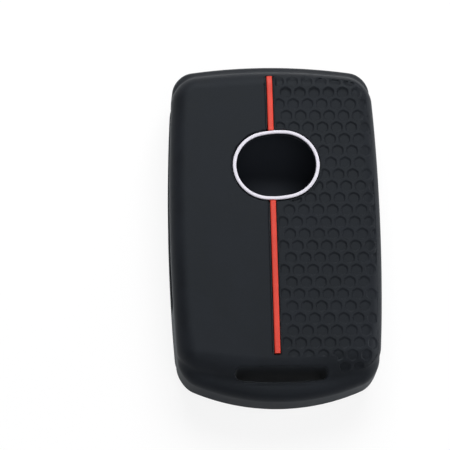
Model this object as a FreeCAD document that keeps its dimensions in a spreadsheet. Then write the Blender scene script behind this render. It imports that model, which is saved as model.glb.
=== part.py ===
"""Moulded silicone cover for a car key fob, with a white ring and two red stripes let into its front.

The cover lies on its back: X runs across it, Y up its length and Z out of its front face. The origin
is under the middle of the cover, on the surface that it lies on. All sizes are in millimetres.
"""
import FreeCAD, Part
import math
import os

import Sketcher

DIMENSIONS = {
    # Overall size
    "cover_length": 84.0,
    "cover_width": 50.4,
    "cover_thickness": 18.6,
    # Outline arcs: barrelled sides, shallow top, deeper bottom
    "side_radius": 500.0,
    "widest_level": 2.0,
    "top_arc_radius": 133.0,
    "bottom_arc_radius": 50.0,
    # Rim in the middle of the thickness, which shows as the neck and as the loop bar
    "rim_thickness": 9.8,
    "rim_side_inset": 0.2,
    "rim_edge_bevel": 1.6,
    "rim_top_corner": 4.9,
    "rim_bottom_corner": 4.6,
    "neck_height": 2.8,
    "bar_drop": 3.8,
    # Pillow: the thick part of the cover
    "pillow_top_corner": 6.5,
    "pillow_bottom_corner": 8.5,
    "pillow_edge_radius": 4.3,
    "wall": 2.2,
    # Space for the key
    "key_space_above_bottom": 10.5,
    "key_space_corner": 5.0,
    # Long slot in the left edge and window in the right edge
    "edge_slot_below_top": 8.2,
    "edge_slot_above_bottom": 23.8,
    "edge_slot_width": 6.2,
    "edge_slot_corner": 0.8,
    "edge_window_length": 6.7,
    "edge_reach": 4.0,
    # Oval window in the front wall, and the ring round it
    "oval_width": 21.2,
    "oval_height": 17.5,
    "oval_end_radius": 8.0,
    "oval_offset": 0.35,
    "oval_below_top": 27.0,
    "ring_line": 0.9,
    # Stripes
    "stripe_width": 1.36,
    "stripe_offset": -0.7,
    "stripe_above_bottom": 10.3,
    # Seats of the ring and the stripes
    "inlay_depth": 0.8,
    "inlay_proud": 0.25,
    "inlay_clearance": 0.05,
    # Lanyard slot
    "lanyard_slot_width": 21.6,
    "lanyard_slot_height": 3.2,
    "lanyard_slot_corner": 1.2,
    "lanyard_slot_offset": 0.25,
    "lanyard_slot_above_bottom": 5.15,
    # Honeycomb grip on the right half of the front
    "grip_pitch": 3.45,
    "grip_ridge": 0.6,
    "grip_depth": 0.45,
    "grip_margin": 0.3,
    "grip_offset": 1.5,
    "grip_below_top": 11.2,
    # Slanting grooves over the left edge of the back
    "groove_pitch": 12.2,
    "groove_below_top": 31.2,
    "groove_bar_radius": 1.6,
    "groove_depth": 0.6,
    "groove_length": 14.0,
    # How far a cut runs past what it cuts
    "overrun": 1.0,
}
HEXAGON_SIDES = 6
GROOVE_COUNT = 3
GROOVE_SLANT_DEGREES = 58.0

doc = FreeCAD.newDocument("key_fob_cover")
sheet = doc.addObject("Spreadsheet::Sheet", "dimensions")
for row, (alias, size) in enumerate(DIMENSIONS.items(), start=1):
    sheet.set(f"A{row}", alias)
    sheet.set(f"B{row}", str(size))
    sheet.setAlias(f"B{row}", alias)
doc.recompute()


def number(expression):
    """The present value of an expression on the sheet."""
    return float(sheet.evalExpression(expression))


HALF_LENGTH = "dimensions.cover_length / 2"
HALF_WIDTH = "dimensions.cover_width / 2"
HALF_THICKNESS = "dimensions.cover_thickness / 2"
OVAL_LEVEL = f"({HALF_LENGTH} - dimensions.oval_below_top)"


def bind(sketch, kind, expression, *places):
    """Adds a dimension to a sketch and ties it to an expression on the sheet."""
    index = sketch.addConstraint(Sketcher.Constraint(kind, *places, number(expression)))
    sketch.setExpression(f"Constraints[{index}]", expression)


def attached_sketch(body, name, role, lift):
    """A sketch parallel to one of the body's origin planes, lifted along that plane's normal."""
    sketch = body.newObject("Sketcher::SketchObject", name)
    plane = next(feature for feature in body.Origin.OriginFeatures if feature.Role == role)
    sketch.AttachmentSupport = (plane, [""])
    sketch.MapMode = "FlatFace"
    sketch.setExpression("AttachmentOffset.Base.z", lift)
    return sketch


def pad(body, sketch, length, side="One side"):
    """Pads a sketch by a length from the sheet."""
    feature = body.newObject("PartDesign::Pad", f"{body.Name}_pad")
    feature.Profile = sketch
    feature.SideType = side
    feature.setExpression("Length", length)
    doc.recompute()
    return feature


def softened(body, feature, kind, size, wanted):
    """Rounds or bevels the edges of a feature that pass a test: kind is Fillet or Chamfer."""
    edges = enumerate(feature.Shape.Edges, start=1)
    soft = body.newObject(f"PartDesign::{kind}", f"{body.Name}_{kind.lower()}")
    soft.Base = (feature, [f"Edge{index}" for index, edge in edges if wanted(edge)])
    soft.setExpression("Radius" if kind == "Fillet" else "Size", size)
    doc.recompute()
    return soft


def runs_along(edge, axis):
    """Tests for a straight edge along an axis."""
    return isinstance(edge.Curve, Part.Line) and math.isclose(abs(edge.Curve.Direction.dot(axis)), 1)


def is_level(edge):
    """Tests for an edge that lies in one horizontal plane."""
    return math.isclose(edge.BoundBox.ZMin, edge.BoundBox.ZMax, abs_tol=Part.Precision.confusion())


def corner_centre(side_centre, side_reach, end_centre, end_reach, farthest):
    """The point at given distances from the centres of a side and an end arc that lies farthest up or
    down: farthest is max for the head and min for the foot."""
    offset = end_centre - side_centre
    along = (offset.Length ** 2 + side_reach ** 2 - end_reach ** 2) / (2 * offset.Length)
    away = math.sqrt(side_reach ** 2 - along ** 2)
    forward = offset / offset.Length
    across = FreeCAD.Vector(-forward.y, forward.x)
    return farthest((side_centre + forward * along + across * turn for turn in (away, -away)),
                    key=lambda point: point.y)


def arc_between(centre, start, end):
    """The counterclockwise arc about a centre from one point to another."""
    circle = Part.Circle(centre, FreeCAD.Vector(0, 0, 1), (start - centre).Length)
    return Part.ArcOfCircle(circle, circle.parameter(start), circle.parameter(end))


def beyond(centre, point, radius):
    """The point at a radius from a centre, in the direction of another point."""
    return centre + (point - centre).normalize() * radius


def mirrored(point):
    """A point on the other side of the Y axis."""
    return FreeCAD.Vector(-point.x, point.y)


def tangent_loop(sketch, arcs):
    """Adds arcs that follow each other round a closed loop, each tangent to the next."""
    indices = sketch.addGeometry(arcs)
    for one, following in zip(indices, indices[1:] + indices[:1]):
        sketch.addConstraint(Sketcher.Constraint("Tangent", one, 2, following, 1))
    return indices


def outline_sketch(body, lift, top, bottom, half_width, top_radius, bottom_radius, side_radius,
                   top_corner, bottom_corner):
    """Closed outline, symmetric about Y: two barrelled sides, a head and a foot, joined by corner arcs."""
    sketch = attached_sketch(body, f"{body.Name}_outline", "XY_Plane", lift)
    side_x = f"({half_width}) - ({side_radius})"
    head_y = f"({top}) - ({top_radius})"
    foot_y = f"({bottom}) + ({bottom_radius})"
    side_centre = FreeCAD.Vector(number(side_x), number("dimensions.widest_level"))
    head_centre = FreeCAD.Vector(0, number(head_y))
    foot_centre = FreeCAD.Vector(0, number(foot_y))
    upper_centre = corner_centre(side_centre, number(f"({side_radius}) - ({top_corner})"),
                                 head_centre, number(f"({top_radius}) - ({top_corner})"), max)
    lower_centre = corner_centre(side_centre, number(f"({side_radius}) - ({bottom_corner})"),
                                 foot_centre, number(f"({bottom_radius}) - ({bottom_corner})"), min)
    side_upper = beyond(side_centre, upper_centre, number(side_radius))
    side_lower = beyond(side_centre, lower_centre, number(side_radius))
    head_end = beyond(head_centre, upper_centre, number(top_radius))
    foot_end = beyond(foot_centre, lower_centre, number(bottom_radius))
    right, upper_right, head, upper_left, left, lower_left, foot, lower_right = tangent_loop(sketch, [
        arc_between(side_centre, side_lower, side_upper),
        arc_between(upper_centre, side_upper, head_end),
        arc_between(head_centre, head_end, mirrored(head_end)),
        arc_between(mirrored(upper_centre), mirrored(head_end), mirrored(side_upper)),
        arc_between(mirrored(side_centre), mirrored(side_upper), mirrored(side_lower)),
        arc_between(mirrored(lower_centre), mirrored(side_lower), mirrored(foot_end)),
        arc_between(foot_centre, mirrored(foot_end), foot_end),
        arc_between(lower_centre, foot_end, side_lower),
    ])
    for radius, arcs in ((side_radius, (right, left)), (top_radius, (head,)), (bottom_radius, (foot,)),
                         (top_corner, (upper_right, upper_left)),
                         (bottom_corner, (lower_left, lower_right))):
        for arc in arcs:
            bind(sketch, "Radius", radius, arc)
    for arc, place in ((right, side_x), (left, f"-({side_x})")):
        bind(sketch, "DistanceX", place, -1, 1, arc, 3)
        bind(sketch, "DistanceY", "dimensions.widest_level", -1, 1, arc, 3)
    for arc, place in ((head, head_y), (foot, foot_y)):
        sketch.addConstraint(Sketcher.Constraint("PointOnObject", arc, 3, -2))
        bind(sketch, "DistanceY", place, -1, 1, arc, 3)
    return sketch


def slab(name, outline, thickness, edge_kind=None, edge_size=None):
    """A slab about the middle of the thickness, whose front and back edges may be softened."""
    body = doc.addObject("PartDesign::Body", name)
    feature = pad(body, outline_sketch(body, HALF_THICKNESS, **outline), thickness, "Symmetric")
    if edge_kind:
        softened(body, feature, edge_kind, edge_size, is_level)
    return body


def pillow_outline(growth):
    """Outline of the thick part of the cover, grown evenly by a distance, or shrunk by a negative one."""
    return {
        "top": f"{HALF_LENGTH} - dimensions.neck_height + {growth}",
        "bottom": f"dimensions.bar_drop - {HALF_LENGTH} - ({growth})",
        "half_width": f"{HALF_WIDTH} + {growth}",
        "top_radius": f"dimensions.top_arc_radius - dimensions.neck_height + {growth}",
        "bottom_radius": f"dimensions.bottom_arc_radius - dimensions.bar_drop + {growth}",
        "side_radius": f"dimensions.side_radius + {growth}",
        "top_corner": f"dimensions.pillow_top_corner + {growth}",
        "bottom_corner": f"dimensions.pillow_bottom_corner + {growth}",
    }


def pillow(name, growth):
    """The thick part of the cover, grown evenly on all sides."""
    return slab(name, pillow_outline(growth), f"dimensions.cover_thickness + 2 * ({growth})",
                "Fillet", f"dimensions.pillow_edge_radius + {growth}")


def rim():
    """The thinner slab whose ends stand out of the pillow as the neck and the loop bar."""
    outline = {
        "top": HALF_LENGTH,
        "bottom": f"-({HALF_LENGTH})",
        "half_width": f"{HALF_WIDTH} - dimensions.rim_side_inset",
        "top_radius": "dimensions.top_arc_radius",
        "bottom_radius": "dimensions.bottom_arc_radius",
        "side_radius": "dimensions.side_radius - dimensions.rim_side_inset",
        "top_corner": "dimensions.rim_top_corner",
        "bottom_corner": "dimensions.rim_bottom_corner",
    }
    return slab("rim", outline, "dimensions.rim_thickness", "Chamfer", "dimensions.rim_edge_bevel")


def key_space():
    """The hollow for the key: a wall inside the pillow at the head and sides, and above the lanyard slot."""
    end_radius = "dimensions.top_arc_radius - dimensions.neck_height - dimensions.wall"
    outline = {
        "top": f"{HALF_LENGTH} - dimensions.neck_height - dimensions.wall",
        "bottom": f"dimensions.key_space_above_bottom - {HALF_LENGTH}",
        "half_width": f"{HALF_WIDTH} - dimensions.wall",
        "top_radius": end_radius,
        "bottom_radius": end_radius,
        "side_radius": "dimensions.side_radius - dimensions.wall",
        "top_corner": "dimensions.key_space_corner",
        "bottom_corner": "dimensions.key_space_corner",
    }
    return slab("key_space", outline, "dimensions.cover_thickness - 2 * dimensions.wall")


def rectangle_prism(name, role, lift, length, centre, size, corner=None):
    """A rectangle on an origin plane, lifted, padded and, where a corner is given, rounded."""
    body = doc.addObject("PartDesign::Body", name)
    sketch = attached_sketch(body, f"{name}_outline", role, lift)
    low = [f"({middle}) - ({extent}) / 2" for middle, extent in zip(centre, size)]
    high = [f"({middle}) + ({extent}) / 2" for middle, extent in zip(centre, size)]
    corners = [(low[0], low[1]), (high[0], low[1]), (high[0], high[1]), (low[0], high[1])]
    points = [FreeCAD.Vector(number(across), number(up)) for across, up in corners]
    lines = sketch.addGeometry([Part.LineSegment(one, following)
                                for one, following in zip(points, points[1:] + points[:1])])
    for one, following in zip(lines, lines[1:] + lines[:1]):
        sketch.addConstraint(Sketcher.Constraint("Coincident", one, 2, following, 1))
    for line in lines[0::2]:
        sketch.addConstraint(Sketcher.Constraint("Horizontal", line))
    for line in lines[1::2]:
        sketch.addConstraint(Sketcher.Constraint("Vertical", line))
    bind(sketch, "DistanceX", low[0], -1, 1, lines[0], 1)
    bind(sketch, "DistanceY", low[1], -1, 1, lines[0], 1)
    bind(sketch, "DistanceX", high[0], -1, 1, lines[2], 1)
    bind(sketch, "DistanceY", high[1], -1, 1, lines[2], 1)
    feature = pad(body, sketch, length)
    if corner:
        normal = sketch.Placement.Rotation.multVec(FreeCAD.Vector(0, 0, 1))
        softened(body, feature, "Fillet", corner, lambda edge: runs_along(edge, normal))
    return body


def oval_prism(name, growth, lift, length):
    """The oval of the front window, grown evenly: two end arcs joined by two flatter tangent arcs."""
    body = doc.addObject("PartDesign::Body", name)
    sketch = attached_sketch(body, f"{name}_outline", "XY_Plane", lift)
    end_radius = f"(dimensions.oval_end_radius + {growth})"
    end_shift = "(dimensions.oval_width / 2 - dimensions.oval_end_radius)"
    half_height = f"(dimensions.oval_height / 2 + {growth})"
    flat_radius = (f"({end_shift}^2 + {half_height}^2 - {end_radius}^2)"
                   f" / (2 * ({half_height} - {end_radius}))")
    middle = FreeCAD.Vector(number("dimensions.oval_offset"), number(OVAL_LEVEL))
    shift = FreeCAD.Vector(number(end_shift), 0)
    drop = FreeCAD.Vector(0, number(f"{flat_radius} - {half_height}"))
    joint = (shift + drop).normalize() * number(flat_radius) - drop
    corner = [middle + FreeCAD.Vector(joint.x * across, joint.y * up)
              for across, up in ((1, -1), (1, 1), (-1, 1), (-1, -1))]
    right, head, left, foot = tangent_loop(sketch, [
        arc_between(middle + shift, corner[0], corner[1]),
        arc_between(middle - drop, corner[1], corner[2]),
        arc_between(middle - shift, corner[2], corner[3]),
        arc_between(middle + drop, corner[3], corner[0]),
    ])
    bind(sketch, "DistanceX", f"dimensions.oval_offset + {end_shift}", -1, 1, right, 3)
    bind(sketch, "DistanceX", f"dimensions.oval_offset - {end_shift}", -1, 1, left, 3)
    for end_arc in (right, left):
        bind(sketch, "DistanceY", OVAL_LEVEL, -1, 1, end_arc, 3)
        bind(sketch, "Radius", end_radius, end_arc)
    for flat_arc in (head, foot):
        bind(sketch, "Radius", flat_radius, flat_arc)
    pad(body, sketch, length)
    return body


def hexagonal_bar(name, corner_radius, length):
    """A six-sided bar along its Z axis, with one of its corners on its X axis."""
    bar = doc.addObject("Part::Prism", name)
    bar.Polygon = HEXAGON_SIDES
    bar.setExpression("Circumradius", corner_radius)
    bar.setExpression("Height", length)
    return bar


def joined(kind, name, *shapes):
    """A boolean of many shapes: Part::MultiFuse or Part::MultiCommon."""
    boolean = doc.addObject(kind, name)
    boolean.Shapes = list(shapes)
    return boolean


def cut(name, base, tool):
    """One shape less another."""
    boolean = doc.addObject("Part::Cut", name)
    boolean.Base = base
    boolean.Tool = tool
    return boolean


# Openings in the edges
EDGE_SLOT_TOP = f"{HALF_LENGTH} - dimensions.edge_slot_below_top"
EDGE_CUT_LENGTH = "dimensions.overrun + dimensions.wall + dimensions.edge_reach"
EDGE_SLOT_LENGTH = ("(dimensions.cover_length - dimensions.edge_slot_below_top"
                    " - dimensions.edge_slot_above_bottom)")
EDGE_SLOT_SIZE = (EDGE_SLOT_LENGTH, "dimensions.edge_slot_width")
EDGE_WINDOW_SIZE = ("dimensions.edge_window_length", "dimensions.edge_slot_width")


def edge_opening(name, lift, size):
    """A rectangular opening through one edge wall into the key space, level with the slot's top."""
    centre = (f"{EDGE_SLOT_TOP} - {size[0]} / 2", HALF_THICKNESS)
    return rectangle_prism(name, "YZ_Plane", lift, EDGE_CUT_LENGTH, centre, size,
                           "dimensions.edge_slot_corner")


edge_slot = edge_opening("edge_slot", f"-({HALF_WIDTH}) - dimensions.overrun", EDGE_SLOT_SIZE)
edge_window = edge_opening("edge_window", f"{HALF_WIDTH} + dimensions.overrun - ({EDGE_CUT_LENGTH})",
                           EDGE_WINDOW_SIZE)

# Prisms of the inlays stand from the front of the rim to past the front of the pillow
RIM_FRONT = f"{HALF_THICKNESS} + dimensions.rim_thickness / 2"
PRISM_LENGTH = f"dimensions.cover_thickness + dimensions.overrun - ({RIM_FRONT})"
CLEARANCE = "dimensions.inlay_clearance"
WINDOW_SHRINK = "(-dimensions.ring_line)"
oval_window = oval_prism("oval_window", WINDOW_SHRINK, RIM_FRONT, PRISM_LENGTH)

STRIPE_TOP = f"{HALF_LENGTH} - dimensions.neck_height + dimensions.inlay_proud"
STRIPE_RUNS = {
    "stripe_upper": (STRIPE_TOP, OVAL_LEVEL),
    "stripe_lower": (OVAL_LEVEL, f"dimensions.stripe_above_bottom - {HALF_LENGTH}"),
}


def stripe_prism(name, run, growth):
    """A stripe's outline between two levels, grown evenly, standing through the front."""
    top, foot = run
    centre = ("dimensions.stripe_offset", f"(({top}) + ({foot})) / 2")
    size = (f"dimensions.stripe_width + 2 * ({growth})", f"({top}) - ({foot}) + 2 * ({growth})")
    lift = f"{RIM_FRONT} + {CLEARANCE} - ({growth})"
    return rectangle_prism(name, "XY_Plane", lift, PRISM_LENGTH, centre, size)


# Seats of the inlays: everything above a floor that follows the pillow
seat_floor = pillow("seat_floor", f"(-dimensions.inlay_depth - {CLEARANCE})")
seat_outlines = joined(
    "Part::MultiFuse", "seat_outlines", oval_prism("ring_seat", CLEARANCE, RIM_FRONT, PRISM_LENGTH),
    *[stripe_prism(f"{name}_seat", run, CLEARANCE) for name, run in STRIPE_RUNS.items()])
seats = cut("seats", seat_outlines, seat_floor)

# Lanyard slot right through, where the pillow's foot meets the loop bar
lanyard_slot = rectangle_prism(
    "lanyard_slot", "XY_Plane", "-dimensions.overrun", "dimensions.cover_thickness + 2 * dimensions.overrun",
    ("dimensions.lanyard_slot_offset", f"dimensions.lanyard_slot_above_bottom - {HALF_LENGTH}"),
    ("dimensions.lanyard_slot_width", "dimensions.lanyard_slot_height"), "dimensions.lanyard_slot_corner")


def back_groove(index):
    """A slanting V groove over the rounded edge between the left side and the back: a bar's corner."""
    slant = math.radians(GROOVE_SLANT_DEGREES)
    outward = FreeCAD.Vector(-1, 0, -1).normalize()
    inward = FreeCAD.Vector(1, 0, -1).normalize()
    axis = inward * math.cos(slant) - FreeCAD.Vector(0, 1, 0) * math.sin(slant)
    groove = hexagonal_bar(f"back_groove_{index + 1}", "dimensions.groove_bar_radius",
                           "dimensions.groove_length")
    groove.Placement.Rotation = FreeCAD.Rotation(-outward, outward.cross(axis), axis)
    edge_distance = "(dimensions.pillow_edge_radius + dimensions.groove_bar_radius - dimensions.groove_depth)"
    back = "dimensions.groove_length / 2"
    level = f"{HALF_LENGTH} - dimensions.groove_below_top - {index} * dimensions.groove_pitch"
    groove.setExpression("Placement.Base.x", f"dimensions.pillow_edge_radius - {HALF_WIDTH}"
                         f" + {edge_distance} * {outward.x} - {back} * {axis.x}")
    groove.setExpression("Placement.Base.y", f"{level} - {back} * {axis.y}")
    groove.setExpression("Placement.Base.z", f"dimensions.pillow_edge_radius"
                         f" + {edge_distance} * {outward.z} - {back} * {axis.z}")
    return groove


# Sleeve, still without its grip
form = joined("Part::MultiFuse", "form", pillow("pillow", "0"), rim())
openings = joined("Part::MultiFuse", "openings", key_space(), edge_slot, edge_window, oval_window, seats,
                  lanyard_slot, *[back_groove(index) for index in range(GROOVE_COUNT)])
plain_sleeve = cut("plain_sleeve", form, openings)

# Honeycomb grip: pockets with their corners up and down, in rows shifted in turn by half a pitch
GRIP_POCKET_RADIUS = "(dimensions.grip_pitch - dimensions.grip_ridge) / sqrt(3)"
GRIP_ROW_PITCH = "dimensions.grip_pitch * sqrt(3) / 2"
GRIP_TOP = f"{HALF_LENGTH} - dimensions.grip_below_top"


def grip_place(row, column):
    """Where a cell of the honeycomb lies across and along the front."""
    return (f"dimensions.grip_offset + dimensions.grip_pitch * {column + row % 2 / 2}",
            f"{GRIP_TOP} - {GRIP_ROW_PITCH} * {row}")


def flat_front():
    """The flat of the plain sleeve's front."""
    doc.recompute()
    level = number("dimensions.cover_thickness")
    faces = [face for face in plain_sleeve.Shape.Faces if isinstance(face.Surface, Part.Plane)
             and math.isclose(face.BoundBox.ZMin, level, abs_tol=Part.Precision.confusion())]
    return max(faces, key=lambda face: face.Area)


def grip_cells():
    """Rows and columns of the cells that lie wholly on the flat of the front, a margin from its edges."""
    front = flat_front()
    edges = Part.makeCompound(front.Wires)
    reach = number(f"{GRIP_POCKET_RADIUS} + dimensions.grip_margin")
    rows = math.ceil(front.BoundBox.YLength / number(GRIP_ROW_PITCH))
    columns = math.ceil(front.BoundBox.XMax / number("dimensions.grip_pitch"))
    for row in range(rows):
        for column in range(columns):
            across, up = grip_place(row, column)
            centre = FreeCAD.Vector(number(across), number(up), front.BoundBox.ZMax)
            on_front = front.isInside(centre, Part.Precision.confusion(), True)
            if on_front and edges.distToShape(Part.Vertex(centre))[0] > reach:
                yield row, column


def grip_pocket(row, column):
    """One pocket of the honeycomb, sunk into the front by the grip's depth."""
    pocket = hexagonal_bar(f"grip_{row}_{column}", GRIP_POCKET_RADIUS,
                           "dimensions.grip_depth + dimensions.overrun")
    pocket.Placement.Rotation = FreeCAD.Rotation(FreeCAD.Vector(0, 0, 1), 90)
    across, up = grip_place(row, column)
    pocket.setExpression("Placement.Base.x", across)
    pocket.setExpression("Placement.Base.y", up)
    pocket.setExpression("Placement.Base.z", "dimensions.cover_thickness - dimensions.grip_depth")
    return pocket


grip = doc.addObject("Part::Compound", "grip")
grip.Links = [grip_pocket(row, column) for row, column in grip_cells()]
sleeve = cut("sleeve", plain_sleeve, grip)

# Inlays: their outlines within a skin that follows the pillow, a little proud of it
skin = cut("skin", pillow("proud_face", "dimensions.inlay_proud"),
           pillow("inlay_floor", "(-dimensions.inlay_depth)"))
ring_outline = oval_prism("ring_outline", "0", RIM_FRONT, PRISM_LENGTH)
ring_band = cut("ring_band", ring_outline, oval_window)
window_ring = joined("Part::MultiCommon", "window_ring", ring_band, skin)
ring_clearing = oval_prism("ring_clearing", CLEARANCE, RIM_FRONT, PRISM_LENGTH)


def stripe(name):
    """A stripe inlay, which stops short of the ring."""
    outline = stripe_prism(f"{name}_outline", STRIPE_RUNS[name], "0")
    return joined("Part::MultiCommon", name, cut(f"{name}_run", outline, ring_clearing), skin)


NODES = [sleeve, window_ring] + [stripe(name) for name in STRIPE_RUNS]

doc.recompute()
for item in doc.Objects:
    if {"Invalid", "Error"} & set(item.State):
        raise RuntimeError(f"{item.Name} failed: {item.State}")
for node in NODES:
    if node.Shape.isNull() or not node.Shape.isValid():
        raise RuntimeError(f"{node.Label} has no valid shape")
    if len(node.Shape.Solids) != 1:
        raise RuntimeError(f"{node.Label} has {len(node.Shape.Solids)} solids")

os.makedirs("parts", exist_ok=True)
for node in NODES:
    node.Shape.exportStep(f"parts/{node.Label}.step")
    print(node.Label, round(node.Shape.Volume, 1), node.Shape.BoundBox)
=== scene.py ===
"""Dresses the key fob cover: a black silicone sleeve, a honeycomb grip, a white ring and red stripes."""
import math
from types import SimpleNamespace

import bpy
import numpy as np
from mathutils import Matrix, Vector


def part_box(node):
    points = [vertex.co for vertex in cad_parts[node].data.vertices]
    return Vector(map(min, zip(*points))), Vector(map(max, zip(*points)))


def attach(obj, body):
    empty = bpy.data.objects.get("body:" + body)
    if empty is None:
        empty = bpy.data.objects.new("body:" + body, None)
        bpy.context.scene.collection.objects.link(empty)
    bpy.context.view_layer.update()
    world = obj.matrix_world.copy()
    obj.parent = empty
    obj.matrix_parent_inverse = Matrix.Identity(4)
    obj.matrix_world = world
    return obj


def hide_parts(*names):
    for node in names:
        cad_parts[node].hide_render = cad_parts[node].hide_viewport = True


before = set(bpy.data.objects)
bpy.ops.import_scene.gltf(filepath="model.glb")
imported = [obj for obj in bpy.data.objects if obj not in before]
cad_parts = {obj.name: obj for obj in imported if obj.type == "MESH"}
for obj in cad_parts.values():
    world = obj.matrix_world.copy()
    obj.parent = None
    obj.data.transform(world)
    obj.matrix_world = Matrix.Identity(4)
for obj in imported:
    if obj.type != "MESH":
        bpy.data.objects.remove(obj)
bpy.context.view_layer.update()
SLEEVE_LOW, SLEEVE_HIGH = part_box("sleeve")
RING_LOW, RING_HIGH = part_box("window_ring")
STRIPE_LOW, STRIPE_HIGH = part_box("stripe_lower")

bl_info = {
    "name": "Key Fob Cover",
    "version": (1, 0, 0),
    "blender": (4, 5, 0),
    "location": "View3D > Sidebar > Key Cover",
    "description": "Builds a moulded silicone key fob cover on its packed frame",
    "category": "Add Mesh",
}

BODY = "root"
MM = 0.001


def number(name, description, default, **traits):
    """A number, with a unit, a subtype or limits where they fit."""
    return bpy.props.FloatProperty(name=name, description=description, default=default, **traits)


def length(name, description, default):
    """A size in metres that the panel shows in scene units."""
    return number(name, description, default, unit="LENGTH", subtype="DISTANCE", precision=5)


def degrees(name, description, default):
    """An angle, given in degrees."""
    return number(name, description, math.radians(default), subtype="ANGLE")


def colour(name, description, default):
    """A linear colour."""
    return bpy.props.FloatVectorProperty(name=name, description=description, default=default, size=3,
                                         min=0.0, max=1.0, subtype="COLOR")


class KeyCoverForm(bpy.types.PropertyGroup):
    """Sizes of the moulded sleeve."""
    half_width: length("Half width", "Half the width at the widest level", SLEEVE_HIGH[0])
    half_length: length("Half length", "From the middle to the neck's top", SLEEVE_HIGH[1])
    thickness: length("Thickness", "From the back to the front face", SLEEVE_HIGH[2])
    widest_level: length("Widest level", "Level at which the sides bulge most", 0.002)
    side_radius: length("Side radius", "Radius of the barrelled sides", 0.500)
    head_radius: length("Head radius", "Radius of the shallow top arc", 0.133)
    foot_radius: length("Foot radius", "Radius of the deeper bottom arc", 0.050)
    pillow_foot: length("Pillow foot radius", "Radius of the pillow's flatter foot arc", 0.075)
    neck_thickness: length("Neck thickness", "Thickness of the neck and the loop bar", 0.0114)
    neck_edge: length("Neck edge", "Rounding of the neck's and bar's edges", 0.0027)
    neck_inset: length("Neck inset", "How far the neck's sides lie inside the pillow's", 0.0001)
    neck_corner: length("Neck corner", "Corner radius at the neck's top", 0.0043)
    bar_corner: length("Bar corner", "Corner radius at the bar's bottom", 0.0035)
    head_drop: length("Head drop", "How far the pillow's head ends below the neck", 0.0020)
    foot_drop: length("Foot drop", "How far the pillow's foot ends above the bar", 0.0038)
    head_corner: length("Head corner", "Corner radius at the pillow's top", 0.0056)
    foot_corner: length("Foot corner", "Corner radius at the pillow's bottom", 0.0044)
    side_edge: length("Side edge", "Edge rounding along the sides", 0.0040)
    head_edge: length("Head edge", "Edge rounding over the shoulder", 0.0046)
    foot_edge: length("Foot edge", "Edge rounding above the bar", 0.0056)
    turn_zone: length("Turn zone", "Width over which the edge rounding changes", 0.012)
    crease: length("Crease", "Fillet where the neck and bar leave the pillow", 0.0009)
    crease_head: length("Crease head", "Level above which the fillet begins", 0.0345)
    crease_foot: length("Crease foot", "Level below which the fillet begins", -0.0300)
    crease_run: length("Crease run", "Length over which the fillet opens", 0.0040)
    wall: length("Wall", "Wall thickness of the sleeve", 0.0022)
    lip: length("Lip", "Rounding of the openings' edges", 0.0006)


class KeyCoverOpenings(bpy.types.PropertyGroup):
    """Sizes of the openings and hollows of the sleeve."""
    key_top: length("Key space top", "Level of the key space's top", 0.0370)
    key_bottom: length("Key space bottom", "Level of the key space's bottom", -0.0315)
    slot_top: length("Edge slot top", "Level of both edge openings' top", 0.0338)
    slot_length: length("Edge slot length", "Length of the slot in the left edge", 0.0520)
    slot_width: length("Edge slot width", "Width of both edge openings", 0.0062)
    window_length: length("Edge window length", "Length of the window in the right edge", 0.0067)
    slot_corner: length("Edge slot corner", "Corner radius of both edge openings", 0.0008)
    lanyard_top: length("Lanyard slot top", "Level of the slot's upper edge", -0.0347)
    lanyard_bar: length("Lanyard bar", "Height of the loop bar below the slot", 0.00415)
    lanyard_arc: length("Lanyard slot arc", "Radius of the slot's lower edge", 0.0750)
    lanyard_offset: length("Lanyard slot offset", "Offset of the slot to the right", 0.00025)
    lanyard_width: length("Lanyard slot width", "Width of the slot", 0.0216)
    lanyard_corner: length("Lanyard slot corner", "Corner radius of the slot", 0.0011)
    groove_level: length("Groove level", "Level of the highest back groove", 0.0108)
    groove_pitch: length("Groove pitch", "Distance between the grooves", 0.0122)
    groove_radius: length("Groove radius", "Radius of the grooves", 0.0016)
    groove_depth: length("Groove depth", "Depth of the grooves", 0.0006)
    groove_length: length("Groove length", "Length of the grooves", 0.0140)


class KeyCoverInlays(bpy.types.PropertyGroup):
    """Sizes of the ring and the stripes."""
    oval_offset: length("Oval offset", "Offset of the oval to the right", (RING_LOW[0] + RING_HIGH[0]) / 2)
    oval_level: length("Oval level", "Level of the oval's middle", (RING_LOW[1] + RING_HIGH[1]) / 2)
    oval_width: length("Oval width", "Outer width of the ring", 0.02085)
    oval_height: length("Oval height", "Outer height of the ring", 0.0175)
    oval_end: length("Oval end radius", "Radius of the oval's ends", 0.0086)
    oval_turn: degrees("Oval turn", "How far the oval leans left", 5.0)
    ring_line: length("Ring line", "Width of the ring", 0.00083)
    stripe_offset: length("Stripe offset", "Offset of the stripes to the right",
                          (STRIPE_LOW[0] + STRIPE_HIGH[0]) / 2)
    stripe_width: length("Stripe width", "Width of the stripes", STRIPE_HIGH[0] - STRIPE_LOW[0])
    stripe_foot: length("Stripe foot", "Level of the stripes' lower end", STRIPE_LOW[1])
    stripe_head: length("Stripe head", "Upper end of the stripes, along the surface", 0.0378)
    depth: length("Inlay depth", "How deep the inlays are let in", 0.0008)
    proud: length("Inlay proud", "How far the inlays stand out", 0.0002)
    gap: length("Seat gap", "Gap between an inlay and its seat", 0.00022)


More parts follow.
